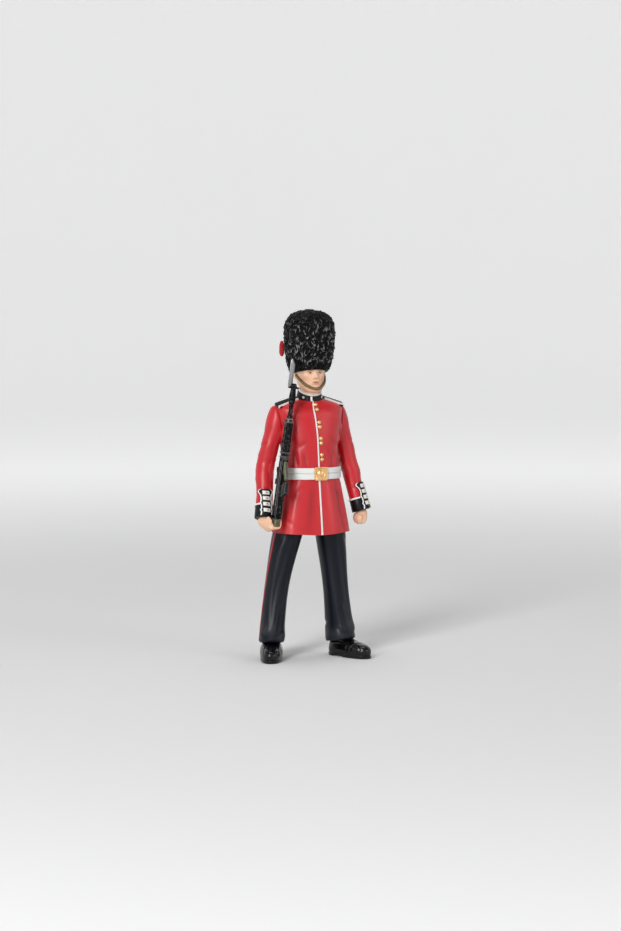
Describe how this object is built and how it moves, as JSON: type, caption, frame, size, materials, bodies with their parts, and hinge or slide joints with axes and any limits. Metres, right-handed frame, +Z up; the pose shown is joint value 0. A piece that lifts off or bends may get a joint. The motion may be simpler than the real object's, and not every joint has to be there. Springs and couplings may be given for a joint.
{
  "type": "toy soldier figure",
  "caption": "Painted toy soldier in ceremonial dress, standing feet apart with a tall fur cap, belted tunic and a rifle with bayonet carried upright in the right hand",
  "frame": {"origin": "On the ground under the middle of the figure's bounding box", "axes": "+Z up from the soles to the top of the fur cap, -Y the way the figure faces, +X to the figure's left"},
  "size_m": [0.0361, 0.0217, 0.1],
  "materials": {
    "fur": "matt",
    "scarlet": "satin",
    "navy": "satin",
    "white_paint": "satin",
    "gilt": "satin metallic paint",
    "silver_paint": "satin metallic paint",
    "flesh": "matt",
    "strap_bronze": "satin",
    "trouser_cloth": "satin",
    "red_stripe": "satin",
    "boot_black": "gloss",
    "rifle_black": "satin, dry brushed grey",
    "olive": "satin",
    "magazine_grey": "satin",
    "plume_red": "matt"
  },
  "bodies": {
    "root": {"bearskin_cap": "fur", "plume": "plume_red", "chin_strap": "strap_bronze", "head": "flesh", "collar": "navy", "collar_piping": "white_paint", "collar_badges": "silver_paint", "tunic_torso": "scarlet", "tunic_skirt": "scarlet", "front_piping": "white_paint", "back_piping": "white_paint", "tunic_buttons": "gilt", "belt": "white_paint", "belt_buckle": "gilt", "shoulder_strap_right": "navy", "shoulder_strap_left": "navy", "strap_piping_right": "white_paint", "strap_piping_left": "white_paint", "sleeve_right": "scarlet", "sleeve_left": "scarlet", "cuff_right": "navy", "cuff_left": "navy", "cuff_piping_right": "white_paint", "cuff_piping_left": "white_paint", "cuff_bars_right": "white_paint", "cuff_bars_left": "white_paint", "cuff_buttons_right": "gilt", "cuff_buttons_left": "gilt", "hand_right": "flesh", "hand_left": "flesh", "trouser_leg_right": "trouser_cloth", "trouser_leg_left": "trouser_cloth", "trouser_stripe_right": "red_stripe", "trouser_stripe_left": "red_stripe", "shoe_right": "boot_black", "shoe_left": "boot_black", "rifle_receiver": "rifle_black", "rifle_handguard": "rifle_black", "rifle_barrel": "rifle_black", "rifle_grip": "olive", "rifle_magazine": "magazine_grey", "rifle_sight": "rifle_black", "rifle_butt_pad": "olive", "bayonet_handle": "rifle_black", "bayonet_blade": "silver_paint"}
  },
  "joints": []
}
